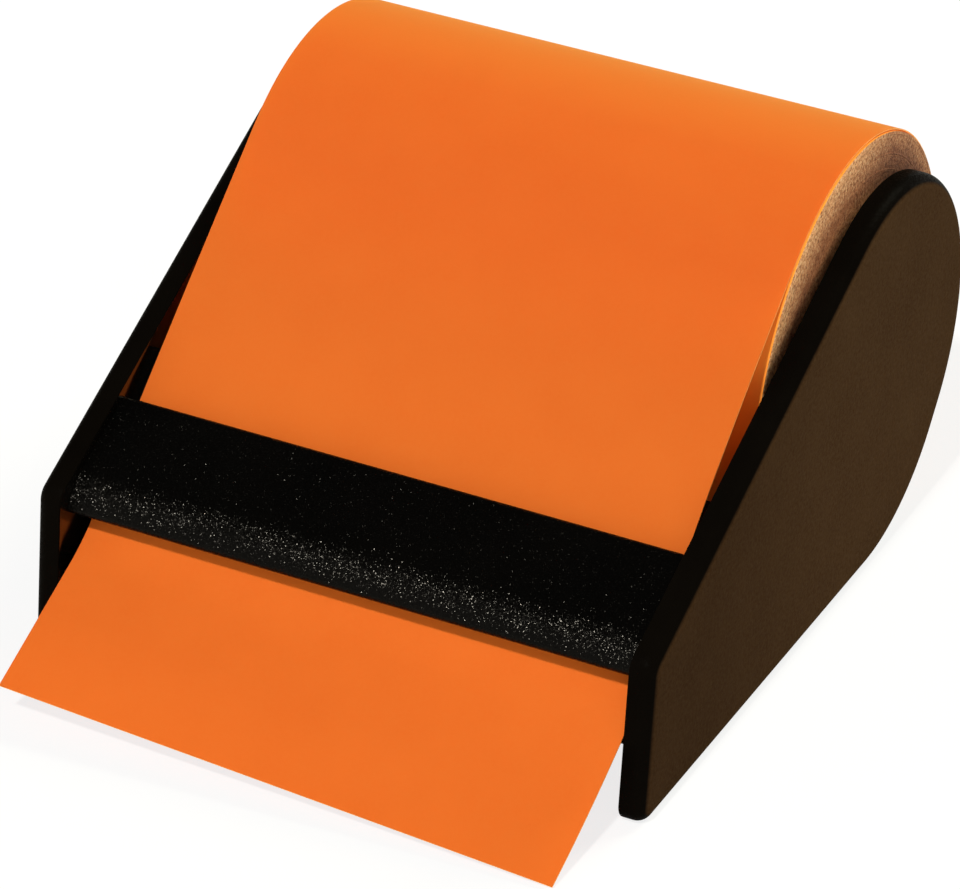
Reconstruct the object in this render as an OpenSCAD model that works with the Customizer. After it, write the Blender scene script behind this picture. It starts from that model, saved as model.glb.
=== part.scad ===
// Sticky note roll dispenser: two teardrop cheeks carry a paper roll on hubs, and the sheet
// leaves over the top of the roll and comes out under a sloping front bar.
// Millimetres. X runs along the roll, +Y to the back, +Z up, and the desk is at zero.

/* [Paper] */
// Width of the paper roll and of its core
paper_width = 60; // [45:1:90]
// Radius of the full roll over its outer turn
roll_radius = 23.25; // [21.5:0.05:25]
// Height of the full roll above the desk
roll_lift = 1.3; // [0.8:0.1:4]
// Thickness that stands for the sheet, thicker than real paper
sheet_thickness = 0.25; // [0.15:0.05:0.4]
// Gap between the fixed outer turn and the turning roll
turn_gap = 0.3; // [0.2:0.05:0.6]
// How far the note reaches in front of the cheeks' brows
note_reach = 14; // [6:0.5:20]
// Height by which one corner of the note lifts and the other one droops
note_twist = 1.65; // [0:0.05:2]
// Height of the drooping corner above the desk
note_floor_gap = 0.3; // [0.25:0.05:2]

/* [Core and hubs] */
// Radius of the core's bore
core_bore = 12.7; // [10.5:0.1:14]
// Wall of the card core
core_wall = 2.3; // [1:0.1:3]
// Running clearance between the hub and the core, on the radius
hub_clearance = 0.08; // [0.04:0.01:0.1]
// Wall of the hub's rim
hub_wall = 1.8; // [1.2:0.1:2.4]
// Thickness of the hub's floor
hub_floor = 2; // [1.5:0.1:3]
// Length of the boss on the cheek that the hub sits on
boss_length = 4; // [3:0.1:6]
// Radius of that boss
boss_radius = 4.5; // [3.5:0.1:5.5]
// Radius of the hub screw's shank
screw_radius = 1.2; // [1:0.05:1.5]
// Radius of the hub screw's head
screw_head_radius = 2.6; // [2.2:0.1:3.2]
// Height of the hub screw's head
screw_head_height = 1.8; // [1.2:0.1:2.4]

/* [Cheeks] */
// Gap between the paper and each cheek
side_gap = 1; // [0.6:0.1:1.4]
// Thickness of a cheek
cheek_thickness = 2.8; // [2.4:0.1:3.4]
// Distance of the roll's axis behind the brow's front
axis_back = 53.74; // [52:0.02:60]
// Radius of the cheek's heel, which rests on the desk under the axis
heel_radius = 20.95; // [20:0.05:21.5]
// How far the heel's centre lies ahead of the axis
heel_ahead = 0.24; // [0:0.02:2]
// Radius of the cheek's shoulder, its upper back end
shoulder_radius = 20.1; // [19:0.05:20.5]
// How far the shoulder's centre lies behind the axis
shoulder_back = 2.13; // [1:0.01:3]
// Height of the shoulder's centre
shoulder_height = 22.68; // [22:0.02:24]
// Height of a cheek's front edge, up to its brow
front_height = 18.65; // [18:0.05:22]
// Radius of the brow in side view
brow_radius = 2.35; // [2:0.05:3]
// Radius of the toe in side view
toe_radius = 2; // [2:0.1:2.6]
// How far the toe stands in front of the brow
toe_ahead = 0.9; // [0:0.1:2]
// Rounding of the cheek's rim toward its outer face
rim_round = 1.5; // [1:0.1:1.9]

/* [Front bar] */
// Radius of the bar's nose
nose_radius = 2; // [1.8:0.1:2.6]
// Distance of the nose behind the brow's front
nose_setback = 1.8; // [1:0.1:3]
// Drop of the nose's centre below the brow's centre
nose_drop = 0.05; // [0:0.05:1]
// Radius of the bar's back edge
bar_back_radius = 0.6; // [0.5:0.05:0.9]
// Distance from the nose's centre to the back edge's centre
bar_reach = 10.8; // [9:0.1:14]
// Gap between the nose and the sheet
nose_gap = 0.7; // [0.6:0.05:1.5]
// Thickness of the tear blade
blade_thickness = 0.4; // [0.3:0.05:0.5]
// Depth of the tear blade, front to back
blade_depth = 6; // [4:0.1:7]

/* [Bed and base] */
// Gap between the sheet and the bed
bed_gap = 1.4; // [1.2:0.1:3]
// Thickness of the bed
bed_thickness = 2.4; // [2.2:0.1:3]
// Length of the bed down its slope
bed_length = 18; // [14:0.5:22]
// Distance of the base plate behind the brow's front
base_front = 11; // [10:0.5:12]
// Length of the base plate
base_length = 28; // [24:0.5:29]
// Thickness of the base plate
base_thickness = 3; // [2.8:0.1:4]
// Height of the base plate above the desk
base_lift = 0.6; // [0.4:0.1:1]
// Depth of a grip pad's pocket in the base plate
pad_inlay = 0.6; // [0.4:0.1:1]
// Width of a grip pad, front to back
pad_width = 6; // [4:0.5:8]
// Radius of the joining pins
pin_radius = 0.8; // [0.6:0.05:0.8]
// Depth of a pin in the cheek
pin_in_cheek = 1.6; // [1:0.1:1.8]
// Depth of a pin in the bar, bed or base
pin_in_piece = 5; // [3:0.5:8]

/* [Clearances] */
// Clearance around a fixed pin, screw or inlay
fixed_clearance = 0.03; // [0.02:0.01:0.06]

/* [Hidden] */
$fn = 48;
smooth = 96;
inner_x = paper_width / 2 + side_gap;
outer_x = inner_x + cheek_thickness;
half_paper = paper_width / 2;
brow_z = front_height - brow_radius;
roll_y = axis_back;
roll_z = roll_radius + roll_lift;
sheet_radius = roll_radius - sheet_thickness / 2;
wound_radius = roll_radius - sheet_thickness - turn_gap;
core_radius = core_bore + core_wall;
hub_radius = core_bore - hub_clearance;
nose_y = nose_setback + nose_radius;
nose_z = brow_z - nose_drop;
// Slope of the sheet: a line that touches the roll from above and passes the nose from below
nose_pass = nose_radius + nose_gap + sheet_thickness / 2;
span = norm([roll_y - nose_y, roll_z - nose_z]);
slope = atan2(roll_z - nose_z, roll_y - nose_y) + asin((nose_pass + sheet_radius) / span);
// Point of the sheet's middle line under the nose, and its length up to the roll
pass_y = nose_y + nose_pass * sin(slope);
pass_z = nose_z - nose_pass * cos(slope);
touch_y = roll_y - sheet_radius * sin(slope);
sheet_length = (touch_y - pass_y) / cos(slope);
// The free note: it bends from the sheet's slope to its own between bend_y and the front
bend_y = nose_y + 0.2;
bend_z = pass_z - (pass_y - bend_y) * tan(slope);
tip_z = note_twist + note_floor_gap;
fall = (bend_z - bend_y * tan(slope) / 2 - tip_z) / (bend_y / 2 + note_reach);
hinge_y = nose_y;
hinge_z = note_z(hinge_y);
lead_length = (pass_y - bend_y) / cos(slope);
// Bar's back edge, and the bar's direction from nose to back
taper = asin((nose_radius - bar_back_radius) / bar_reach);
bar_dir = slope - taper;
back_y = nose_y + bar_reach * cos(bar_dir);
back_z = nose_z + bar_reach * sin(bar_dir);
base_mid_z = base_lift + base_thickness / 2;
// The origin is under the middle of the whole length, from the note's tip to the roll's back
shift_y = (note_reach - roll_y - roll_radius) / 2;

// Pins: [y, z] of each one on the cheeks' inner faces
bar_pins = [[nose_y, nose_z],
            [nose_y + bar_reach * cos(bar_dir) / 2, nose_z + bar_reach * sin(bar_dir) / 2]];
bed_pins = [for (s = [0.2, 0.8]) bed_point(s * bed_length, bed_thickness / 2)];
base_pins = [for (s = [0.2, 0.8]) [base_front + s * base_length, base_mid_z]];

// Height of the note's middle line at a distance y behind the brow's front
function note_z(y) =
    y >= bend_y ? bend_z + (y - bend_y) * tan(slope)
    : y > 0 ? front_z() + fall * y + (tan(slope) - fall) * y * y / (2 * bend_y)
    : front_z() + fall * y;
function front_z() = bend_z - bend_y * (tan(slope) + fall) / 2;
// Slope of that line
function note_fall(y) =
    y >= bend_y ? tan(slope) : y > 0 ? fall + (tan(slope) - fall) * y / bend_y : fall;
// Twist that the note has at y: none at its bend under the nose, all of it at the tip
function twist_at(y) = note_twist * max(0, hinge_y - y) / (hinge_y + note_reach);
// A point of the bed: s along the sheet from the nose, d below the bed's top face
function bed_point(s, d) =
    [pass_y + s * cos(slope) + (bed_gap + sheet_thickness / 2 + d) * sin(slope),
     pass_z + s * sin(slope) - (bed_gap + sheet_thickness / 2 + d) * cos(slope)];

// Extrudes a side view, y and z, along X
module across(x0, x1) {
    rotate([90, 0, 90])
        translate([0, 0, x0])
            linear_extrude(x1 - x0)
                children();
}

// A round bar along X at y and z
module rod(y, z, r, x0, x1) {
    translate([x0, y, z])
        rotate([0, 90, 0])
            cylinder(r = r, h = x1 - x0, $fn = smooth);
}

// Moves a child so that y runs up the sheet from the nose and z stands off the sheet
module on_sheet() {
    translate([0, pass_y, pass_z])
        rotate([slope, 0, 0])
            children();
}

// One disc of the cheek, as slices that round its edge toward the outer face
module rim_disc(y, z, r, steps) {
    for (k = [0 : 6]) {
        inset = rim_round * (1 - sin(15 * k));
        depth = rim_round * (1 - cos(15 * k));
        translate([inner_x, y, z])
            rotate([0, 90, 0])
                cylinder(r = r - inset, h = cheek_thickness - depth, $fn = steps);
    }
}

// Holes for the pins of one piece in the right cheek
module pin_holes(list) {
    for (p = list) {
        rod(p[0], p[1], pin_radius + fixed_clearance, inner_x - 1, inner_x + pin_in_cheek);
    }
}

// Right cheek: the left one is its mirror image
module cheek() {
    difference() {
        union() {
            hull() {
                rim_disc(roll_y - heel_ahead, heel_radius, heel_radius, smooth);
                rim_disc(roll_y + shoulder_back, shoulder_height, shoulder_radius, smooth);
                rim_disc(brow_radius, brow_z, brow_radius, 32);
                rim_disc(toe_radius - toe_ahead, toe_radius, toe_radius, 32);
            }
            rod(roll_y, roll_z, boss_radius, inner_x - boss_length, inner_x + 1);
        }
        rod(roll_y, roll_z, screw_radius + fixed_clearance,
            inner_x - boss_length - 1, inner_x + cheek_thickness / 2);
        pin_holes(bar_pins);
        pin_holes(bed_pins);
        pin_holes(base_pins);
    }
}

module right_cheek() {
    color([0.06, 0.055, 0.05])
        cheek();
}

module left_cheek() {
    color([0.06, 0.055, 0.05])
        mirror([1, 0, 0])
            cheek();
}

// Holes in both ends of a piece between the cheeks
module end_holes(list) {
    for (p = list) {
        rod(p[0], p[1], pin_radius + fixed_clearance, inner_x - pin_in_piece, inner_x + 1);
        rod(p[0], p[1], pin_radius + fixed_clearance, -inner_x - 1, pin_in_piece - inner_x);
    }
}

// Pins in both ends of a piece between the cheeks
module end_pins(list) {
    for (p = list) {
        rod(p[0], p[1], pin_radius, inner_x - pin_in_piece, inner_x + pin_in_cheek);
        rod(p[0], p[1], pin_radius, -inner_x - pin_in_cheek, pin_in_piece - inner_x);
    }
}

// Side view of the bar: a wedge between its round nose and its round back edge
module bar_outline() {
    low = slope - 90;
    high = slope + 90 - 2 * taper;
    translate([nose_y, nose_z])
        circle(r = nose_radius, $fn = smooth);
    translate([back_y, back_z])
        circle(r = bar_back_radius, $fn = smooth);
    polygon([[nose_y + nose_radius * cos(low), nose_z + nose_radius * sin(low)],
             [back_y + bar_back_radius * cos(low), back_z + bar_back_radius * sin(low)],
             [back_y + bar_back_radius * cos(high), back_z + bar_back_radius * sin(high)],
             [nose_y + nose_radius * cos(high), nose_z + nose_radius * sin(high)]]);
}

// Front bar, with a recess under it for the tear blade
module front_bar() {
    color([0.05, 0.048, 0.045])
        difference() {
            across(-inner_x, inner_x)
                bar_outline();
            on_sheet()
                translate([-half_paper, -3, nose_gap + sheet_thickness / 2 - 1])
                    cube([paper_width, blade_depth + 2 + fixed_clearance, 1 + blade_thickness]);
            end_holes(bar_pins);
        }
}

// Tear blade: its front edge stands a little in front of where the nose curls away
module tear_blade() {
    color([0.7, 0.71, 0.72])
        on_sheet()
            translate([fixed_clearance - half_paper, -1, nose_gap + sheet_thickness / 2])
                cube([paper_width - 2 * fixed_clearance, blade_depth, blade_thickness]);
}

module bar_pins_set() {
    color([0.6, 0.6, 0.62])
        end_pins(bar_pins);
}

// Bed under the sheet
module paper_bed() {
    color([0.05, 0.048, 0.045])
        difference() {
            across(-inner_x, inner_x)
                polygon([bed_point(0, 0), bed_point(0, bed_thickness),
                         bed_point(bed_length, bed_thickness), bed_point(bed_length, 0)]);
            end_holes(bed_pins);
        }
}

module bed_pins_set() {
    color([0.6, 0.6, 0.62])
        end_pins(bed_pins);
}

// A grip pad under the base, or its pocket with a margin around it
module pad(y, margin) {
    translate([-inner_x * 0.8 - margin, y - pad_width / 2 - margin, 0])
        cube([inner_x * 1.6 + 2 * margin, pad_width + 2 * margin, base_lift + pad_inlay]);
}

// Base plate between the cheeks
module base_plate() {
    color([0.05, 0.048, 0.045])
        difference() {
            translate([-inner_x, base_front, base_lift])
                cube([2 * inner_x, base_length, base_thickness]);
            pad(base_front + pad_width, fixed_clearance);
            pad(base_front + base_length - pad_width, fixed_clearance);
            end_holes(base_pins);
        }
}

module base_pins_set() {
    color([0.6, 0.6, 0.62])
        end_pins(base_pins);
}

module front_grip_pad() {
    color([0.12, 0.12, 0.12])
        pad(base_front + pad_width, 0);
}

module rear_grip_pad() {
    color([0.12, 0.12, 0.12])
        pad(base_front + base_length - pad_width, 0);
}

// Right hub: a cup that opens to the cheek and sits on the cheek's boss
module hub() {
    face = inner_x - boss_length;
    difference() {
        rod(roll_y, roll_z, hub_radius, face - hub_floor, inner_x);
        difference() {
            rod(roll_y, roll_z, hub_radius - hub_wall, face, inner_x + 1);
            rod(roll_y, roll_z, boss_radius + 1.5, face - 1, inner_x - 1);
        }
        rod(roll_y, roll_z, boss_radius + fixed_clearance, face, inner_x + 1);
        rod(roll_y, roll_z, screw_radius + fixed_clearance, face - hub_floor - 1, face + 1);
    }
}

module right_hub() {
    color([0.16, 0.16, 0.16])
        hub();
}

module left_hub() {
    color([0.16, 0.16, 0.16])
        mirror([1, 0, 0])
            hub();
}

// Right hub screw, with a cross recess in its head
module hub_screw() {
    seat = inner_x - boss_length - hub_floor;
    difference() {
        union() {
            rod(roll_y, roll_z, screw_head_radius, seat - screw_head_height, seat);
            rod(roll_y, roll_z, screw_radius, seat - 0.5, inner_x + cheek_thickness / 2 - 0.3);
        }
        for (a = [0, 90]) {
            translate([seat - screw_head_height, roll_y, roll_z])
                rotate([a, 0, 0])
                    cube([2, 2.6, 0.6], center = true);
        }
    }
}

module right_hub_screw() {
    color([0.7, 0.7, 0.7])
        hub_screw();
}

module left_hub_screw() {
    color([0.7, 0.7, 0.7])
        mirror([1, 0, 0])
            hub_screw();
}

// Core tube of card
module core_tube() {
    color([0.62, 0.46, 0.3])
        difference() {
            rod(roll_y, roll_z, core_radius, -half_paper, half_paper);
            rod(roll_y, roll_z, core_bore, -half_paper - 1, half_paper + 1);
        }
}

// Wound paper on the core
module paper_roll() {
    color([0.85, 0.45, 0.15])
        difference() {
            rod(roll_y, roll_z, wound_radius, -half_paper, half_paper);
            rod(roll_y, roll_z, core_radius + fixed_clearance, -half_paper - 1, half_paper + 1);
        }
}

// A thin twisted sheet between two y values: the front end is y0
module twisted_sheet(y0, y1, rows) {
    columns = 12;
    grid = [for (side = [-1, 1], i = [0 : rows], j = [0 : columns])
        let (y = y0 + (y1 - y0) * i / rows,
             a = atan(note_fall(y)),
             x = half_paper * (2 * j / columns - 1),
             z = note_z(y) - twist_at(y) * x / half_paper)
        [x, y - side * sin(a) * sheet_thickness / 2, z + side * cos(a) * sheet_thickness / 2]];
    wide = columns + 1;
    top = (rows + 1) * wide;
    low_faces = [for (i = [0 : rows - 1], j = [0 : columns - 1], half = [0, 1])
        let (p = i * wide + j)
        half == 0 ? [p, p + 1, p + wide + 1] : [p, p + wide + 1, p + wide]];
    high_faces = [for (f = low_faces) [f[2] + top, f[1] + top, f[0] + top]];
    rim = concat([for (j = [0 : columns - 1]) j],
                 [for (i = [0 : rows - 1]) i * wide + columns],
                 [for (j = [columns : -1 : 1]) rows * wide + j],
                 [for (i = [rows : -1 : 1]) i * wide]);
    count = len(rim);
    side_faces = [for (k = [0 : count - 1], half = [0, 1])
        let (p = rim[k], q = rim[(k + 1) % count])
        half == 0 ? [p, p + top, q + top] : [p, q + top, q]];
    polyhedron(points = grid, faces = concat(low_faces, high_faces, side_faces));
}

// Side view of the sheet that the frame carries, along the sheet: three quarters of a loose turn
// around the roll, and the straight run down to the bend under the nose
module web_outline() {
    difference() {
        union() {
            translate([sheet_length, -sheet_radius])
                circle(r = roll_radius, $fn = smooth);
            translate([-lead_length, -1])
                square([sheet_length + lead_length, 1 + sheet_thickness / 2]);
        }
        union() {
            translate([sheet_length, -sheet_radius])
                circle(r = roll_radius - sheet_thickness, $fn = smooth);
            translate([-lead_length - 1, -sheet_radius])
                square([sheet_length + lead_length + 1, sheet_radius - sheet_thickness / 2]);
        }
    }
}

module paper_web() {
    color([0.93, 0.44, 0.16])
        on_sheet()
            across(-half_paper, half_paper)
                web_outline();
}

// Free end of the note
module note_tongue() {
    color([0.93, 0.44, 0.16])
        twisted_sheet(-note_reach, hinge_y - 0.05, 16);
}

// Puts a sub-part into the shared frame
module placed() {
    translate([0, shift_y, 0])
        children();
}

placed() left_cheek();
placed() right_cheek();
placed() front_bar();
placed() tear_blade();
placed() bar_pins_set();
placed() paper_bed();
placed() bed_pins_set();
placed() base_plate();
placed() base_pins_set();
placed() front_grip_pad();
placed() rear_grip_pad();
placed() left_hub();
placed() right_hub();
placed() left_hub_screw();
placed() right_hub_screw();
placed() core_tube();
placed() paper_roll();
placed() paper_web();
placed() note_tongue();
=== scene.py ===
"""Looks of the sticky note roll dispenser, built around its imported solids. Metres, +Z up, desk at zero."""

import math

import bpy
import numpy as np
from mathutils import Matrix, Vector


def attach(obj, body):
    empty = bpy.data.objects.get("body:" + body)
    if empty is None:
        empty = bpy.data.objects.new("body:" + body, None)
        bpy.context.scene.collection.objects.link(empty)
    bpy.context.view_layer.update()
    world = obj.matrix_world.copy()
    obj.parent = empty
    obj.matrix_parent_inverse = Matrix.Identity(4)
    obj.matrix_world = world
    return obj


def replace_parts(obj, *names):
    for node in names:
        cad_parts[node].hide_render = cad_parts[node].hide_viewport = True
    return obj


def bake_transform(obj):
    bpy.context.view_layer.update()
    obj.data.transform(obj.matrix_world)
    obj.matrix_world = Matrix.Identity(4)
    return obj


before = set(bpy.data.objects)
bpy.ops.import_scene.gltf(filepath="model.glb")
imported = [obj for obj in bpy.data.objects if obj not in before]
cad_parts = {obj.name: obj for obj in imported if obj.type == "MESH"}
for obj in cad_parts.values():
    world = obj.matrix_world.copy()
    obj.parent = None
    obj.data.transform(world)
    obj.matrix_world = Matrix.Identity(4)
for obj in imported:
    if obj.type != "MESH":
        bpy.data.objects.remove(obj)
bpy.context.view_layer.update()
MM = 0.001

# Sizes of the solids, in millimetres: y runs from the cheeks' front edge, and SHIFT moves it to the frame
SHIFT = -31.495
HALF_PAPER = 30.0
INNER_X = 31.0
CHEEK = 2.8
CHEEK_CIRCLES = [(55.87, 22.68, 20.1), (2.35, 16.3, 2.35), (1.1, 2.0, 2.0), (53.5, 20.95, 20.95)]
RIM = 1.5
INNER_RIM = 0.15
ROLL_Y, ROLL_Z, ROLL_R = 53.74, 24.55, 23.25
CORE_R = 15.0
NOSE_Y, NOSE_Z, NOSE_R = 3.8, 16.25, 2.0
BACK_R = 0.6
BAR_REACH = 10.8
NOSE_GAP = 0.7
SHEET = 0.25
NOTE_REACH = 14.0
NOTE_TWIST = 1.65
NOTE_FLOOR_GAP = 0.3
TIP_Z = NOTE_TWIST + NOTE_FLOOR_GAP

# The sheet's straight run, as in the source: it touches the roll from above and passes the nose from below
NOSE_PASS = NOSE_R + NOSE_GAP + SHEET / 2
SHEET_R = ROLL_R - SHEET / 2
SLOPE = math.atan2(ROLL_Z - NOSE_Z, ROLL_Y - NOSE_Y) + math.asin(
    (NOSE_PASS + SHEET_R) / math.hypot(ROLL_Y - NOSE_Y, ROLL_Z - NOSE_Z)
)
PASS_Y = NOSE_Y + NOSE_PASS * math.sin(SLOPE)
PASS_Z = NOSE_Z - NOSE_PASS * math.cos(SLOPE)
TOUCH_Y = ROLL_Y - SHEET_R * math.sin(SLOPE)
BEND_BEHIND_NOSE = 0.2
BEND_Y = NOSE_Y + BEND_BEHIND_NOSE
BEND_Z = PASS_Z - (PASS_Y - BEND_Y) * math.tan(SLOPE)
FALL = (BEND_Z - BEND_Y * math.tan(SLOPE) / 2 - TIP_Z) / (BEND_Y / 2 + NOTE_REACH)
FRONT_Z = BEND_Z - BEND_Y * (math.tan(SLOPE) + FALL) / 2
HINGE_Y = NOSE_Y


# Points and meshes


def row(x, y, z):
    """A point of the frame in metres, from millimetres behind the cheeks' front edge."""
    return (x * MM, (y + SHIFT) * MM, z * MM)


def span(start, end):
    """The frame's Y in metres for two places in millimetres behind the cheeks' front edge."""
    return ((start + SHIFT) * MM, (end + SHIFT) * MM)


def new_object(name, points, faces):
    mesh = bpy.data.meshes.new(name)
    mesh.from_pydata(points, [], faces)
    mesh.validate()
    mesh.update()
    mesh.polygons.foreach_set("use_smooth", [True] * len(mesh.polygons))
    obj = bpy.data.objects.new(name, mesh)
    bpy.context.scene.collection.objects.link(obj)
    return obj


EDGE_SUPPORT = 0.999


def across(columns):
    """Places from -1 to 1 across a piece, with one more beside each end to keep the shading even."""
    inner = [2 * c / columns - 1 for c in range(1, columns)]
    return [-1.0, -EDGE_SUPPORT, *inner, EDGE_SUPPORT, 1.0]


def arc(y, z, radius, start, end, steps):
    """Points along an arc, with both ends."""
    turns = [start + (end - start) * k / steps for k in range(steps + 1)]
    return [(y + radius * math.cos(t), z + radius * math.sin(t)) for t in turns]


def straight(start, end, steps):
    """Points along a line, without its ends."""
    (ay, az), (by, bz) = start, end
    return [(ay + (by - ay) * k / steps, az + (bz - az) * k / steps) for k in range(1, steps)]


def between_rings(count, m, closed=False):
    """Faces between rings of m points each, also from the last ring to the first if closed."""
    faces = []
    for k in range(count if closed else count - 1):
        here = k * m
        there = (k + 1) % count * m
        for i in range(m):
            j = (i + 1) % m
            faces.append((here + i, there + i, there + j, here + j))
    return faces


# Materials: noise mostly stays in its span, and the colour mix has its sockets at these places

NOISE_SPAN = (0.3, 0.7)
MIX_FACTOR, MIX_FIRST, MIX_SECOND, MIX_RESULT = 0, 6, 7, 2


class Nodes:
    """The node tree of a material or of the sky, with short calls for making and joining nodes."""

    def __init__(self, owner, shader="Principled BSDF", place="Object"):
        owner.use_nodes = True
        self.tree = owner.node_tree
        self.shader = self.tree.nodes[shader]
        self.place = self.add("ShaderNodeTexCoord").outputs[place]

    def add(self, kind, **settings):
        node = self.tree.nodes.new(kind)
        for key, value in settings.items():
            setattr(node, key, value)
        return node

    def join(self, a, b):
        self.tree.links.new(a, b)

    def give(self, value, socket):
        """Joins another node's output to a socket, or sets a plain number or colour on it."""
        if hasattr(value, "is_linked"):
            self.join(value, socket)
        elif isinstance(value, tuple):
            socket.default_value = (*value, 1.0)
        else:
            socket.default_value = value

    def set(self, name, value):
        self.give(value, self.shader.inputs[name])

    def show(self, shader):
        self.join(shader.outputs[0], self.tree.nodes["Material Output"].inputs["Surface"])

    def mix_shaders(self, fac, a, b):
        node = self.add("ShaderNodeMixShader")
        self.give(fac, node.inputs[0])
        self.join(a.outputs[0], node.inputs[1])
        self.join(b.outputs[0], node.inputs[2])
        return node

    def axes(self):
        """The place's X, Y and Z."""
        split = self.add("ShaderNodeSeparateXYZ")
        self.join(self.place, split.inputs[0])
        return split.outputs

    def noise(self, scale, detail=2.0, rough=0.5, place=None):
        node = self.add("ShaderNodeTexNoise")
        node.inputs["Scale"].default_value = scale
        node.inputs["Detail"].default_value = detail
        node.inputs["Roughness"].default_value = rough
        self.join(place or self.place, node.inputs["Vector"])
        return node.outputs["Fac"]

    def ramp(self, value, stops):
        node = self.add("ShaderNodeValToRGB")
        band = node.color_ramp
        while len(band.elements) < len(stops):
            band.elements.new(0.5)
        for element, (at, colour) in zip(band.elements, stops):
            element.position = at
            element.color = (*colour, 1.0)
        self.join(value, node.inputs["Fac"])
        return node.outputs["Color"]

    def mix(self, fac, a, b, blend="MIX"):
        node = self.add("ShaderNodeMix", data_type="RGBA", blend_type=blend)
        for value, socket in ((fac, MIX_FACTOR), (a, MIX_FIRST), (b, MIX_SECOND)):
            self.give(value, node.inputs[socket])
        return node.outputs[MIX_RESULT]

    def spread(self, value, source, target=(0.0, 1.0)):
        node = self.add("ShaderNodeMapRange")
        node.inputs["From Min"].default_value = source[0]
        node.inputs["From Max"].default_value = source[1]
        node.inputs["To Min"].default_value = target[0]
        node.inputs["To Max"].default_value = target[1]
        self.join(value, node.inputs["Value"])
        return node.outputs["Result"]

    def maths(self, operation, *values):
        node = self.add("ShaderNodeMath", operation=operation)
        for socket, value in enumerate(values):
            self.give(value, node.inputs[socket])
        return node.outputs[0]

    def facets(self, size, lean):
        """A normal that leans its own way in each small cell of the surface."""
        cells = self.add("ShaderNodeTexVoronoi")
        cells.inputs["Scale"].default_value = 1 / size
        self.join(self.place, cells.inputs["Vector"])
        middle = self.add("ShaderNodeVectorMath", operation="SUBTRACT")
        self.join(cells.outputs["Color"], middle.inputs[0])
        middle.inputs[1].default_value = (0.5, 0.5, 0.5)
        scaled = self.add("ShaderNodeVectorMath", operation="SCALE")
        self.join(middle.outputs[0], scaled.inputs[0])
        scaled.inputs["Scale"].default_value = lean
        total = self.add("ShaderNodeVectorMath", operation="ADD")
        self.join(self.add("ShaderNodeNewGeometry").outputs["Normal"], total.inputs[0])
        self.join(scaled.outputs[0], total.inputs[1])
        unit = self.add("ShaderNodeVectorMath", operation="NORMALIZE")
        self.join(total.outputs[0], unit.inputs[0])
        return unit.outputs[0]

    def bump(self, height, strength, distance, below=None):
        node = self.add("ShaderNodeBump")
        node.inputs["Strength"].default_value = strength
        node.inputs["Distance"].default_value = distance
        self.join(height, node.inputs["Height"])
        if below is not None:
            self.join(below, node.inputs["Normal"])
        return node.outputs["Normal"]


def spark_plastic(name, dark, light, rough, lean):
    """Black moulded plastic with a spark-eroded skin: tiny facets, of which a few glint in the light."""
    material = bpy.data.materials.new(name)
    n = Nodes(material)
    wide = n.noise(scale=90.0, detail=3.0)
    fine = n.noise(scale=3000.0, detail=2.0, rough=0.6)
    n.set("Base Color", n.ramp(wide, [(0.3, dark), (0.75, light)]))
    n.set("Roughness", n.spread(fine, NOISE_SPAN, (rough - 0.03, rough + 0.05)))
    n.set("Normal", n.facets(size=0.08 * MM, lean=lean))
    n.set("Specular IOR Level", 0.07)
    # Reflections are tinted warm: a painted warm reflection of the surroundings
    n.set("Specular Tint", (1.0, 0.94, 0.82))
    return material


# The rim turns to a painted brown reflection between these depths below the outer face, darker toward the
# front between these places
BLACK_DEPTH, BROWN_DEPTH = 0.25, 0.06
FRONT_DARK_START, FRONT_DARK_END = 14.0, 44.0


def cheek_plastic(name):
    """The same plastic with a fine black rim, and a dull outer face in brown grey, a painted reflection,
    darker toward the front.
    """
    material = bpy.data.materials.new(name)
    n = Nodes(material)
    axes = n.axes()
    face = INNER_X + CHEEK
    out = n.maths("ABSOLUTE", axes["X"])
    outer = n.spread(out, ((face - BLACK_DEPTH) * MM, (face - BROWN_DEPTH) * MM))
    wide = n.noise(scale=120.0, detail=4.0, rough=0.6)
    grain = n.noise(scale=2400.0, detail=3.0, rough=0.6)
    black = n.ramp(wide, [(0.3, (0.0022, 0.0016, 0.001)), (0.75, (0.0032, 0.0024, 0.0016))])
    # The outer face's brown grey is a painted reflection of warm surroundings, with a lighter grain
    reflected_brown = n.ramp(wide, [(0.3, (0.04, 0.0188, 0.0069)), (0.75, (0.051, 0.0254, 0.0098))])
    reflected_brown = n.mix(n.spread(grain, (0.35, 0.7), (0.0, 0.6)), reflected_brown, (0.072, 0.04, 0.018))
    # The outer face is darker toward the front
    toward_back = n.spread(axes["Y"], span(FRONT_DARK_START, FRONT_DARK_END))
    reflected_brown = n.mix(1.0, reflected_brown, n.ramp(toward_back, [(0.0, (0.73, 0.71, 0.7)), (1.0, (1.0, 1.0, 1.0))]), "MULTIPLY")
    n.set("Base Color", n.mix(outer, black, reflected_brown))
    n.set("Roughness", n.spread(outer, (0.0, 1.0), (0.4, 0.75)))
    n.set("Normal", n.facets(size=0.13 * MM, lean=0.2))
    n.set("Specular IOR Level", 0.004)
    return material


def wall_plastic(name):
    """The smooth inner wall of a cheek, which mirrors the paper beside it."""
    material = bpy.data.materials.new(name)
    n = Nodes(material)
    wide = n.noise(scale=90.0, detail=3.0)
    n.set("Base Color", n.ramp(wide, [(0.3, (0.0018, 0.0014, 0.001)), (0.75, (0.003, 0.0024, 0.0018))]))
    n.set("Roughness", n.spread(wide, NOISE_SPAN, (0.12, 0.2)))
    n.set("Specular IOR Level", 0.5)
    return material


# The paper is painted lighter and yellower between these places, from the roll's top toward its back:
# painted light on the roll's top
TOP_LIGHT_START, TOP_LIGHT_END = 48.0, 64.0
TOP_LIT_ORANGE = (0.97, 0.28, 0.031)

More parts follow.
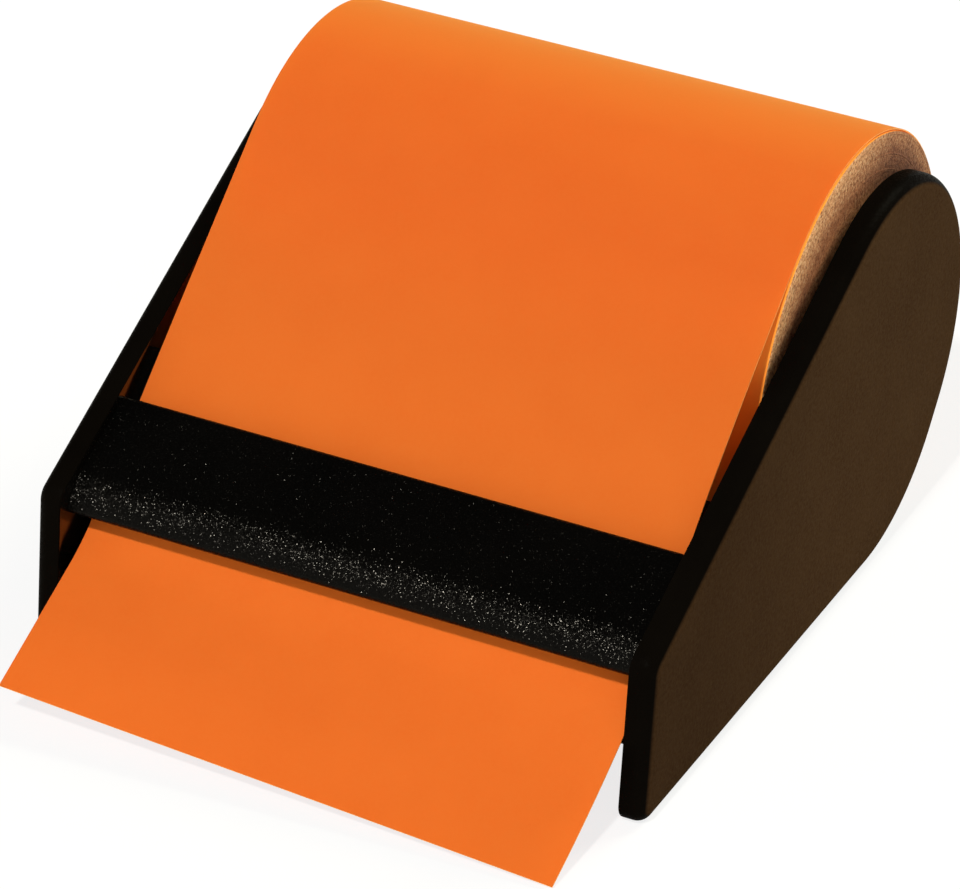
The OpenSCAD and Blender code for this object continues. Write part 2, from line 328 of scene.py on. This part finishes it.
# The paper is painted lighter beside the bar, where shade falls, and darker toward the note's tip and toward
# the roll, where more light falls
COUNTER_SHADE_START, COUNTER_SHADE_END = -14.0, 54.0
COUNTER_SHADE = [
    (0.0, (0.86, 0.89, 0.91)),
    (0.22, (0.93, 0.97, 1.0)),
    (0.4, (1.0, 1.0, 1.0)),
    (0.75, (0.81, 0.83, 0.86)),
    (1.0, (0.83, 0.92, 0.92)),
]


def note_paper(name, clear, pale=0.0):
    """Orange note paper: faint clouds, short fibres and a slight sheen, with some light going through, and
    painted light and shade in its colour.
    """
    material = bpy.data.materials.new(name)
    n = Nodes(material)
    cloud = n.noise(scale=140.0, detail=4.0, rough=0.6)
    fibre = n.noise(scale=2200.0, detail=4.0, rough=0.7)
    back = n.axes()["Y"]
    base = n.ramp(cloud, [(0.3, (0.97, 0.184, 0.019)), (0.7, (1.0, 0.2, 0.022))])
    base = n.mix(n.spread(fibre, (0.35, 0.7), (0.0, 0.5)), base, (1.0, 0.224, 0.03))
    # Painted counter-shade: lighter beside the bar, darker toward the tip and the roll
    base = n.mix(1.0, base, n.ramp(n.spread(back, span(COUNTER_SHADE_START, COUNTER_SHADE_END)), COUNTER_SHADE), "MULTIPLY")
    # For the roll's outer turn the colour is painted paler: painted light in the shaded gap under the sheet
    # and along the roll's edge
    base = n.mix(pale, base, (1.0, 0.36, 0.045))
    # Painted light: lighter, yellower orange from the roll's top toward its back
    n.set("Base Color", n.mix(n.spread(back, span(TOP_LIGHT_START, TOP_LIGHT_END)), base, TOP_LIT_ORANGE))
    clouds = n.bump(cloud, strength=0.15, distance=0.4 * MM)
    n.set("Normal", n.bump(fibre, strength=0.25, distance=0.04 * MM, below=clouds))
    n.set("Roughness", 0.75)
    n.set("Specular IOR Level", 0.12)
    n.set("Sheen Weight", 0.45)
    n.set("Sheen Roughness", 0.4)
    n.set("Sheen Tint", (1.0, 0.7, 0.15))
    glow = n.add("ShaderNodeBsdfTranslucent")
    n.give((1.0, 0.48, 0.12), glow.inputs["Color"])
    n.show(n.mix_shaders(clear, n.shader, glow))
    return material


def cut_edge(name):
    """Sheared edge of the note paper, where the pale fibres show."""
    material = bpy.data.materials.new(name)
    n = Nodes(material)
    fibre = n.noise(scale=2600.0, detail=3.0)
    n.set("Base Color", n.ramp(fibre, [(0.3, (0.9, 0.36, 0.07)), (0.7, (1.0, 0.5, 0.12))]))
    n.set("Roughness", 0.85)
    return material


# The roll's end carries painted shade between these radii, and more of it from the first to the second of
# these places
SHADE_INNER, SHADE_OUTER = 16.0, 22.4
SHADE_START, SHADE_END = 54.0, 62.0


def wound_edge(name):
    """End of the roll: cut layers of pale brown paper, mottled and rough, with fine rings and painted shade.
    """
    material = bpy.data.materials.new(name)
    n = Nodes(material)
    axes = n.axes()
    flat = n.add("ShaderNodeCombineXYZ")
    n.join(axes["Y"], flat.inputs["Y"])
    n.join(axes["Z"], flat.inputs["Z"])
    away = n.add("ShaderNodeVectorMath", operation="DISTANCE")
    n.join(flat.outputs[0], away.inputs[0])
    away.inputs[1].default_value = row(0.0, ROLL_Y, ROLL_Z)
    radius = away.outputs["Value"]
    ring = n.add("ShaderNodeTexNoise", noise_dimensions="1D")
    ring.inputs["Scale"].default_value = 4200.0
    ring.inputs["Detail"].default_value = 3.0
    n.join(radius, ring.inputs["W"])
    grain = n.noise(scale=2600.0, detail=4.0, rough=0.7)
    patch = n.noise(scale=700.0, detail=3.0)
    base = n.ramp(grain, [(0.34, (0.24, 0.08, 0.024)), (0.5, (0.85, 0.42, 0.18)), (0.66, (1.0, 0.76, 0.46))])
    rings = n.ramp(ring.outputs["Fac"], [(0.35, (0.8, 0.76, 0.72)), (0.65, (1.0, 1.0, 1.0))])
    base = n.mix(0.6, base, rings, "MULTIPLY")
    clouds = n.ramp(patch, [(0.3, (0.7, 0.62, 0.56)), (0.6, (1.0, 1.0, 1.0))])
    base = n.mix(0.8, base, clouds, "MULTIPLY")
    # Painted shade: darker between these radii, most of all behind
    depth = n.spread(radius, (SHADE_INNER * MM, SHADE_OUTER * MM))
    behind = n.spread(axes["Y"], span(SHADE_START, SHADE_END))
    front = n.ramp(depth, [(0.0, (1.0, 0.76, 0.6)), (0.38, (0.48, 0.31, 0.22)), (1.0, (1.0, 0.96, 0.9))])
    rear = n.ramp(depth, [(0.0, (0.32, 0.19, 0.13)), (0.75, (0.35, 0.22, 0.16)), (1.0, (0.64, 0.52, 0.45))])
    n.set("Base Color", n.mix(1.0, base, n.mix(behind, front, rear), "MULTIPLY"))
    n.set("Normal", n.bump(grain, strength=0.6, distance=0.3 * MM))
    n.set("Roughness", 0.9)
    return material


def steel(name, tint):
    """Brushed steel: streaks along X."""
    material = bpy.data.materials.new(name)
    n = Nodes(material)
    stretch = n.add("ShaderNodeMapping")
    stretch.inputs["Scale"].default_value = (0.05, 1.0, 1.0)
    n.join(n.place, stretch.inputs["Vector"])
    streak = n.noise(scale=4000.0, detail=3.0, rough=0.6, place=stretch.outputs[0])
    n.set("Base Color", n.ramp(streak, [(0.3, tuple(0.8 * c for c in tint)), (0.7, tint)]))
    n.set("Roughness", n.spread(streak, NOISE_SPAN, (0.25, 0.45)))
    n.set("Metallic", 1.0)
    return material


def card(name):
    """Kraft card of the core: brown, with long fibres and darker flecks."""
    material = bpy.data.materials.new(name)
    n = Nodes(material)
    fibre = n.noise(scale=1500.0, detail=5.0, rough=0.7)
    fleck = n.noise(scale=700.0, detail=2.0)
    base = n.ramp(fibre, [(0.3, (0.26, 0.15, 0.075)), (0.7, (0.42, 0.27, 0.15))])
    n.set("Base Color", n.mix(n.spread(fleck, (0.62, 0.7), (0.0, 0.6)), base, (0.16, 0.09, 0.045)))
    n.set("Normal", n.bump(fibre, strength=0.4, distance=0.1 * MM))
    n.set("Roughness", 0.9)
    return material


def rubber(name):
    """Dull rubber of the grip pads, with a fine pebble."""
    material = bpy.data.materials.new(name)
    n = Nodes(material)
    pebble = n.noise(scale=1600.0, detail=2.0)
    n.set("Base Color", n.ramp(pebble, [(0.3, (0.02, 0.02, 0.021)), (0.7, (0.045, 0.045, 0.046))]))
    n.set("Normal", n.bump(pebble, strength=0.5, distance=0.2 * MM))
    n.set("Roughness", 0.85)
    return material


CHEEK_PLASTIC = cheek_plastic("cheek_plastic")
WALL_PLASTIC = wall_plastic("wall_plastic")
BAR_PLASTIC = spark_plastic("bar_plastic", (0.0008, 0.0007, 0.0006), (0.0014, 0.0012, 0.001), 0.18, lean=0.5)
HUB_PLASTIC = spark_plastic("hub_plastic", (0.015, 0.015, 0.015), (0.022, 0.022, 0.022), 0.4, lean=0.3)
BED_PLASTIC = spark_plastic("bed_plastic", (0.0022, 0.002, 0.0018), (0.004, 0.0037, 0.0034), 0.5, lean=0.2)
PAPER = note_paper("note_paper", clear=0.3)
PAPER_BACK = note_paper("note_back", clear=0.9)
# The roll's outer turn is painted paler orange, as painted light where it lies in shade
PAPER_TURN = note_paper("note_turn", clear=0.0, pale=1.0)
PAPER_EDGE = cut_edge("note_edge")
WOUND = wound_edge("wound_edge")
BLADE = steel("blade_steel", (0.62, 0.63, 0.64))
PIN = steel("pin_steel", (0.5, 0.5, 0.52))
CARD = card("card")
RUBBER = rubber("pad_rubber")


# Cheeks: teardrop plates, rounded on the outer side of the rim and nearly sharp on the inner side

ARC_STEPS, ARC_LEAST, LINE_STEPS = 72, 12, 16
INNER_STEPS, RIM_STEPS = 4, 16
WALL_SUPPORT = 0.6
SHELL, WALL = 0, 1


def outline(circles, inset):
    """Points around the convex outline of some circles, given in turn, and drawn in by inset."""
    n = len(circles)
    turn = []
    for i in range(n):
        (ay, az, ar), (by, bz, br) = circles[i], circles[(i + 1) % n]
        way = math.atan2(bz - az, by - ay)
        turn.append(way - math.acos((ar - br) / math.hypot(by - ay, bz - az)))
    points = []
    for i in range(n):
        y, z, r = circles[i]
        a, b = turn[i - 1], turn[i]
        while b < a:
            b += 2 * math.pi
        points += arc(y, z, r - inset, a, b, max(ARC_LEAST, int(ARC_STEPS * (b - a) / math.pi)))
        ny, nz, nr = circles[(i + 1) % n]
        end = (ny + (nr - inset) * math.cos(b), nz + (nr - inset) * math.sin(b))
        points += straight(points[-1], end, LINE_STEPS)
    return points


def make_cheek(name, side):
    """One cheek: rings of its outline through its thickness, closed by a face on both sides."""
    sections = [(INNER_RIM + WALL_SUPPORT, 0.0)]
    for k in range(INNER_STEPS + 1):
        t = math.pi / 2 * k / INNER_STEPS
        sections.append((INNER_RIM * (1 - math.sin(t)), INNER_RIM * (1 - math.cos(t))))
    for k in range(RIM_STEPS + 1):
        t = math.pi / 2 * k / RIM_STEPS
        sections.append((RIM * (1 - math.cos(t)), CHEEK - RIM * (1 - math.sin(t))))
    points = []
    for inset, depth in sections:
        points += [row(side * (INNER_X + depth), y, z) for y, z in outline(CHEEK_CIRCLES, inset)]
    m = len(points) // len(sections)
    faces = between_rings(len(sections), m)
    inner_wall = len(faces)
    faces.append(tuple(range(m)))
    faces.append(tuple((len(sections) - 1) * m + i for i in reversed(range(m))))
    if side < 0:
        faces = [tuple(reversed(f)) for f in faces]
    cheek = new_object(name, points, faces)
    cheek.data.materials.append(CHEEK_PLASTIC)
    cheek.data.materials.append(WALL_PLASTIC)
    kinds = [WALL if i < m or i == inner_wall else SHELL for i in range(len(faces))]
    cheek.data.polygons.foreach_set("material_index", kinds)
    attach(cheek, "frame")
    return cheek


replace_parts(make_cheek("cheek_right", 1), "right_cheek")
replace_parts(make_cheek("cheek_left", -1), "left_cheek")


# Front bar: a wedge that curves down to a narrow lip

BAR_CURVE = 6.0
LIP_Y, LIP_Z, LIP_R = 2.2, 15.63, 0.6
UNDER_Y, UNDER_Z = 0.2, 0.17
BROW_STEPS, BAR_STEPS, FLAT_STEPS = 40, 24, 12
BAR_COLUMNS = 40


def make_bar():
    taper = math.asin((NOSE_R - BACK_R) / BAR_REACH)
    way = SLOPE - taper
    back_y, back_z = NOSE_Y + BAR_REACH * math.cos(way), NOSE_Z + BAR_REACH * math.sin(way)
    low, high = SLOPE - math.pi / 2, SLOPE + math.pi / 2 - 2 * taper
    # Brow of the bar: an arc that touches the top plane and runs into the lip
    top_y, top_z = math.cos(high), math.sin(high)
    start_y, start_z = NOSE_Y + (NOSE_R - BAR_CURVE) * top_y, NOSE_Z + (NOSE_R - BAR_CURVE) * top_z
    off_y, off_z = start_y - LIP_Y, start_z - LIP_Z
    half = off_y * top_z - off_z * top_y
    far = math.sqrt(half * half - off_y * off_y - off_z * off_z + (BAR_CURVE - LIP_R) ** 2) - half
    mid_y, mid_z = start_y + far * top_z, start_z - far * top_y
    meet = math.atan2(LIP_Z - mid_z, LIP_Y - mid_y) % (2 * math.pi)
    side = arc(mid_y, mid_z, BAR_CURVE, high, meet, BROW_STEPS)
    side += arc(LIP_Y, LIP_Z, LIP_R, meet, 1.5 * math.pi, BAR_STEPS)[1:]
    # Underside, from just ahead of the nose's lowest line to the back edge
    side.append((NOSE_Y + NOSE_R * math.cos(low) - UNDER_Y, NOSE_Z + NOSE_R * math.sin(low) - UNDER_Z))
    back = arc(back_y, back_z, BACK_R, low, high, BAR_STEPS)
    side += straight(side[-1], back[0], FLAT_STEPS)
    side += back
    side += straight(side[-1], side[0], FLAT_STEPS)
    places = across(BAR_COLUMNS)
    m = len(side)
    points = [row(INNER_X * u, y, z) for u in places for y, z in side]
    faces = [tuple(reversed(f)) for f in between_rings(len(places), m)]
    faces.append(tuple(reversed(range(m))))
    faces.append(tuple((len(places) - 1) * m + i for i in range(m)))
    bar = new_object("bar", points, faces)
    bar.data.polygons[len(faces) - 1].use_smooth = False
    bar.data.polygons[len(faces) - 2].use_smooth = False
    bar.data.materials.append(BAR_PLASTIC)
    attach(bar, "frame")
    return bar


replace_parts(make_bar(), "front_bar")


# Roll: wound paper with a rough, layered end, a little to the right of the middle

ROLL_SIDE = 0.05
ROLL_PLAY = 0.06
ROLL_STEPS = 240
LAYERS, LAYER_SHARE, LAYER_MARGIN = 58, 0.75, 0.05
END_SETBACK, END_ROUGHNESS, END_SEED = 0.02, 0.03, 7
CORE_PLAY, CORE_SETBACK = 0.04, 0.05
EDGE_SETBACK, EDGE_RING = 0.06, 0.1
HASH_START, HASH_STEP, HASH_SHIFT = 2166136261, 16777619, 13
HASH_WORD, HASH_PART = 0xFFFFFFFF, 0xFFFFFF
LAYERED, DYED = 0, 1


def chance(*key):
    """A fixed number from 0 to 1 for a few whole numbers."""
    h = HASH_START
    for k in key:
        h = ((h ^ (int(k) & HASH_WORD)) * HASH_STEP) & HASH_WORD
        h ^= h >> HASH_SHIFT
    return (h & HASH_PART) / HASH_PART


def make_roll():
    outer = ROLL_R - SHEET - ROLL_PLAY
    inner = CORE_R + LAYER_MARGIN
    wound = outer - CORE_R - 2 * LAYER_MARGIN
    profile = [(CORE_R + CORE_PLAY, HALF_PAPER - CORE_SETBACK)]
    for k in range(LAYERS):
        x = HALF_PAPER - END_SETBACK - END_ROUGHNESS * chance(k, END_SEED)
        profile.append((inner + wound * k / LAYERS, x))
        profile.append((inner + wound * (k + LAYER_SHARE) / LAYERS, x))
    profile += [(outer, HALF_PAPER - EDGE_SETBACK), (outer, HALF_PAPER - EDGE_RING)]
    ends = len(profile)
    profile += [(r, -x) for r, x in reversed(profile)]
    m = len(profile)
    points = []
    for i in range(ROLL_STEPS):
        t = 2 * math.pi * i / ROLL_STEPS
        for r, x in profile:
            points.append(row(x + ROLL_SIDE, ROLL_Y + r * math.cos(t), ROLL_Z + r * math.sin(t)))
    faces = between_rings(ROLL_STEPS, m, closed=True)
    # Dyed paper on the outside and in the bore, and cut layers on both ends
    plain = (ends - 2, ends - 1, ends, m - 1)
    kinds = [DYED if k in plain else LAYERED for k in range(m)] * ROLL_STEPS
    roll = new_object("roll_paper", points, faces)
    roll.data.materials.append(WOUND)
    roll.data.materials.append(PAPER_TURN)
    roll.data.polygons.foreach_set("material_index", kinds)
    roll.data.polygons.foreach_set("use_smooth", [k == DYED for k in kinds])
    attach(roll, "roll")
    return roll


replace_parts(make_roll(), "paper_roll")


# Sheet: one piece of paper from its loose turn around the roll to the tip of the free note

LOOSE_TURN = 1.5 * math.pi
TURN_STEPS, RUN_STEPS, NOTE_STEPS, TIP_SUPPORT = 150, 40, 60, 59.9
SHEET_COLUMNS = 30
SHEET_HALF = 0.07
TIP_TRIM = 0.25
BEND_LEAD = 0.4
FACE, CUT, UNDERSIDE = 0, 1, 2

# The loose turn sits a little to the left, and the sheet drifts to the right and spreads toward the bar
PAPER_SIDE = -0.2
SHEET_DRIFT, SHEET_SPREAD, DRIFT_POWER = 0.65, 0.4, 3
NOTE_DRIFT, NOTE_NARROWING = 0.3, 0.25

# The note's right side droops sooner than its left side lifts
TWIST_SHARE, TWIST_EARLY = 1.09, 1.4


def note_height(y):
    if y >= BEND_Y:
        return BEND_Z + (y - BEND_Y) * math.tan(SLOPE)
    if y > 0:
        return FRONT_Z + FALL * y + (math.tan(SLOPE) - FALL) * y * y / (2 * BEND_Y)
    return FRONT_Z + FALL * y


def sheet_path():
    """The sheet's middle line, from the loose turn's end to the note's tip: y, z, share of the note run."""
    path = []
    for k in range(TURN_STEPS):
        t = SLOPE - math.pi + LOOSE_TURN * k / TURN_STEPS
        path.append((ROLL_Y + SHEET_R * math.cos(t), ROLL_Z + SHEET_R * math.sin(t), 0.0))
    lead = BEND_Y + BEND_LEAD
    for k in range(RUN_STEPS + 1):
        y = TOUCH_Y + (lead - TOUCH_Y) * k / RUN_STEPS
        path.append((y, note_height(y), 0.0))
    for k in (*range(1, NOTE_STEPS), TIP_SUPPORT, NOTE_STEPS):
        y = lead - (NOTE_REACH - TIP_TRIM + lead) * k / NOTE_STEPS
        path.append((y, note_height(y), max(HINGE_Y - y, 0.0) / (HINGE_Y + NOTE_REACH)))
    return path


def make_sheet():
    path = sheet_path()
    n = len(path)
    places = across(SHEET_COLUMNS)
    points = []
    for off in (SHEET_HALF, -SHEET_HALF):
        for i, (y, z, run) in enumerate(path):
            a, b = path[max(i - 1, 0)], path[min(i + 1, n - 1)]
            near = min(max((TOUCH_Y - y) / (TOUCH_Y - HINGE_Y), 0.0), 1.0)
            on = near**DRIFT_POWER if i >= TURN_STEPS else 0.0
            middle = PAPER_SIDE + SHEET_DRIFT * on - NOTE_DRIFT * run
            reach = HALF_PAPER + SHEET_SPREAD * on - NOTE_NARROWING * run
            dy, dz = b[0] - a[0], b[1] - a[1]
            size = math.hypot(dy, dz)
            out_y, out_z = dz / size, -dy / size
            for u in places:
                early = (0.5 + 0.5 * u) ** 2
                twist = TWIST_SHARE * NOTE_TWIST * (run + TWIST_EARLY * early * run * (1 - run))
                points.append(row(reach * u + middle, y + out_y * off, z + out_z * off - twist * u))
    wide = len(places)
    columns = wide - 1
    under = n * wide
    faces, kinds = [], []
    for i in range(n - 1):
        for c in range(columns):
            p = i * wide + c
            faces.append((p, p + wide, p + wide + 1, p + 1))
            faces.append((under + p + 1, under + p + wide + 1, under + p + wide, under + p))
            kinds += [FACE, UNDERSIDE if path[i][0] > BEND_Y else FACE]
    rim = list(range(columns))
    rim += [i * wide + columns for i in range(n - 1)]
    rim += [(n - 1) * wide + c for c in range(columns, 0, -1)]
    rim += [i * wide for i in range(n - 1, 0, -1)]
    for p, q in zip(rim, rim[1:] + rim[:1]):
        faces.append((p, q, under + q, under + p))
        kinds.append(CUT)
    sheet = new_object("sheet", points, faces)
    sheet.data.materials.append(PAPER)
    sheet.data.materials.append(PAPER_EDGE)
    sheet.data.materials.append(PAPER_BACK)
    sheet.data.polygons.foreach_set("material_index", kinds)
    sheet.data.polygons.foreach_set("use_smooth", [k != CUT for k in kinds])
    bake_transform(sheet)
    return sheet


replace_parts(make_sheet(), "paper_web", "note_tongue")


# Solids that are shown as they are

for node, material in (
    ("tear_blade", BLADE),
    ("bar_pins_set", PIN),
    ("paper_bed", BED_PLASTIC),
    ("bed_pins_set", PIN),
    ("base_plate", BED_PLASTIC),
    ("base_pins_set", PIN),
    ("front_grip_pad", RUBBER),
    ("rear_grip_pad", RUBBER),
    ("left_hub", HUB_PLASTIC),
    ("right_hub", HUB_PLASTIC),
    ("left_hub_screw", PIN),
    ("right_hub_screw", PIN),
    ("core_tube", CARD),
):
    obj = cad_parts[node]
    obj.data.materials.clear()
    obj.data.materials.append(material)


# Floor, in metres: white where it is seen, with a faint shadow

FLOOR_HALF = 3
FLOOR_DROP = 0.00002
FLOOR_GLOW = 0.8

corners = [(FLOOR_HALF * x, FLOOR_HALF * y, 0) for x, y in ((-1, -1), (1, -1), (1, 1), (-1, 1))]
floor_mesh = bpy.data.meshes.new("floor")
floor_mesh.from_pydata(corners, [], [(0, 1, 2, 3)])
floor = bpy.data.objects.new("floor", floor_mesh)
floor.location.z = -FLOOR_DROP
bpy.context.scene.collection.objects.link(floor)
floor_white = bpy.data.materials.new("floor")
ground = Nodes(floor_white)
ground.set("Base Color", (0.97, 0.97, 0.97))
ground.set("Roughness", 0.9)
ground.set("Specular IOR Level", 0.0)
rays = ground.add("ShaderNodeLightPath").outputs
seen = ground.maths("MAXIMUM", rays["Is Camera Ray"], rays["Is Transmission Ray"])
white = ground.add("ShaderNodeEmission")
ground.show(ground.mix_shaders(ground.maths("MULTIPLY", seen, FLOOR_GLOW), ground.shader, white))
floor_mesh.materials.append(floor_white)


# Sky: bright low in front, and dim overhead and behind, so that black plastic stays black

FRONT_SKY = ((0.0, 0.76), (0.1, 0.7), (0.55, 0.7), (0.78, 0.06), (1.0, 0.03))
BACK_SKY = ((0.0, 0.25), (0.15, 0.2), (0.5, 0.1), (1.0, 0.03))
SKY_TURN = (-0.2, 0.3)

world = bpy.data.worlds.new("world")
bpy.context.scene.world = world
sky = Nodes(world, "Background", "Generated")
way = sky.axes()
front_sky = sky.ramp(way["Z"], [(at, (light, light, light)) for at, light in FRONT_SKY])
back_sky = sky.ramp(way["Z"], [(at, (light, light, light)) for at, light in BACK_SKY])
sky.set("Color", sky.mix(sky.spread(way["Y"], SKY_TURN), front_sky, back_sky))


# Sunlight: a hard lamp in front and a soft, yellowish one behind, both aimed at the middle of the floor


def sun(name, energy, place, angle, colour):
    data = bpy.data.lights.new(name, "SUN")
    data.energy = energy
    data.color = colour
    data.angle = math.radians(angle)
    obj = bpy.data.objects.new(name, data)
    obj.location = place
    obj.rotation_euler = (Vector((0, 0, 0)) - Vector(place)).to_track_quat("-Z", "Y").to_euler()
    bpy.context.scene.collection.objects.link(obj)


sun("key", energy=2.34, place=(0.0, -0.62, 0.78), angle=4, colour=(1.0, 0.98, 0.94))
sun("back", energy=2.1, place=(0.3, 0.72, 0.6), angle=25, colour=(1.0, 1.0, 0.78))


# Camera: fitted to the photo's edges, in pixels, degrees and millimetres, with the clipping in metres

PHOTO_WIDE, PHOTO_HIGH = 960, 889
FOCAL, CENTRE_X, CENTRE_Y = 5563.0, 468.5, 456.9
AZIMUTH, ELEVATION, TILT = math.radians(25.664), math.radians(30.862), math.radians(1.779)
TARGET = (2.362, -8.17, 20.0)
DISTANCE = 552.726
SENSOR = 36.0
CLIP = 0.01

level = math.cos(ELEVATION)
back = Vector((math.sin(AZIMUTH) * level, -math.cos(AZIMUTH) * level, math.sin(ELEVATION)))
flat_right = (-back).cross(Vector((0, 0, 1))).normalized()
flat_up = flat_right.cross(-back)
right = math.cos(TILT) * flat_right + math.sin(TILT) * flat_up
up = math.cos(TILT) * flat_up - math.sin(TILT) * flat_right
view = bpy.data.cameras.new("camera")
view.sensor_width = SENSOR
view.lens = FOCAL / PHOTO_WIDE * SENSOR
view.shift_x = (PHOTO_WIDE / 2 - CENTRE_X) / PHOTO_WIDE
view.shift_y = (CENTRE_Y - PHOTO_HIGH / 2) / PHOTO_WIDE
view.clip_start = CLIP
camera = bpy.data.objects.new("camera", view)
turned = Matrix((right, up, back)).transposed().to_4x4()
camera.matrix_world = Matrix.Translation(Vector(TARGET) * MM + back * DISTANCE * MM) @ turned
bpy.context.scene.collection.objects.link(camera)
bpy.context.scene.camera = camera
bpy.context.scene.view_settings.view_transform = "Standard"
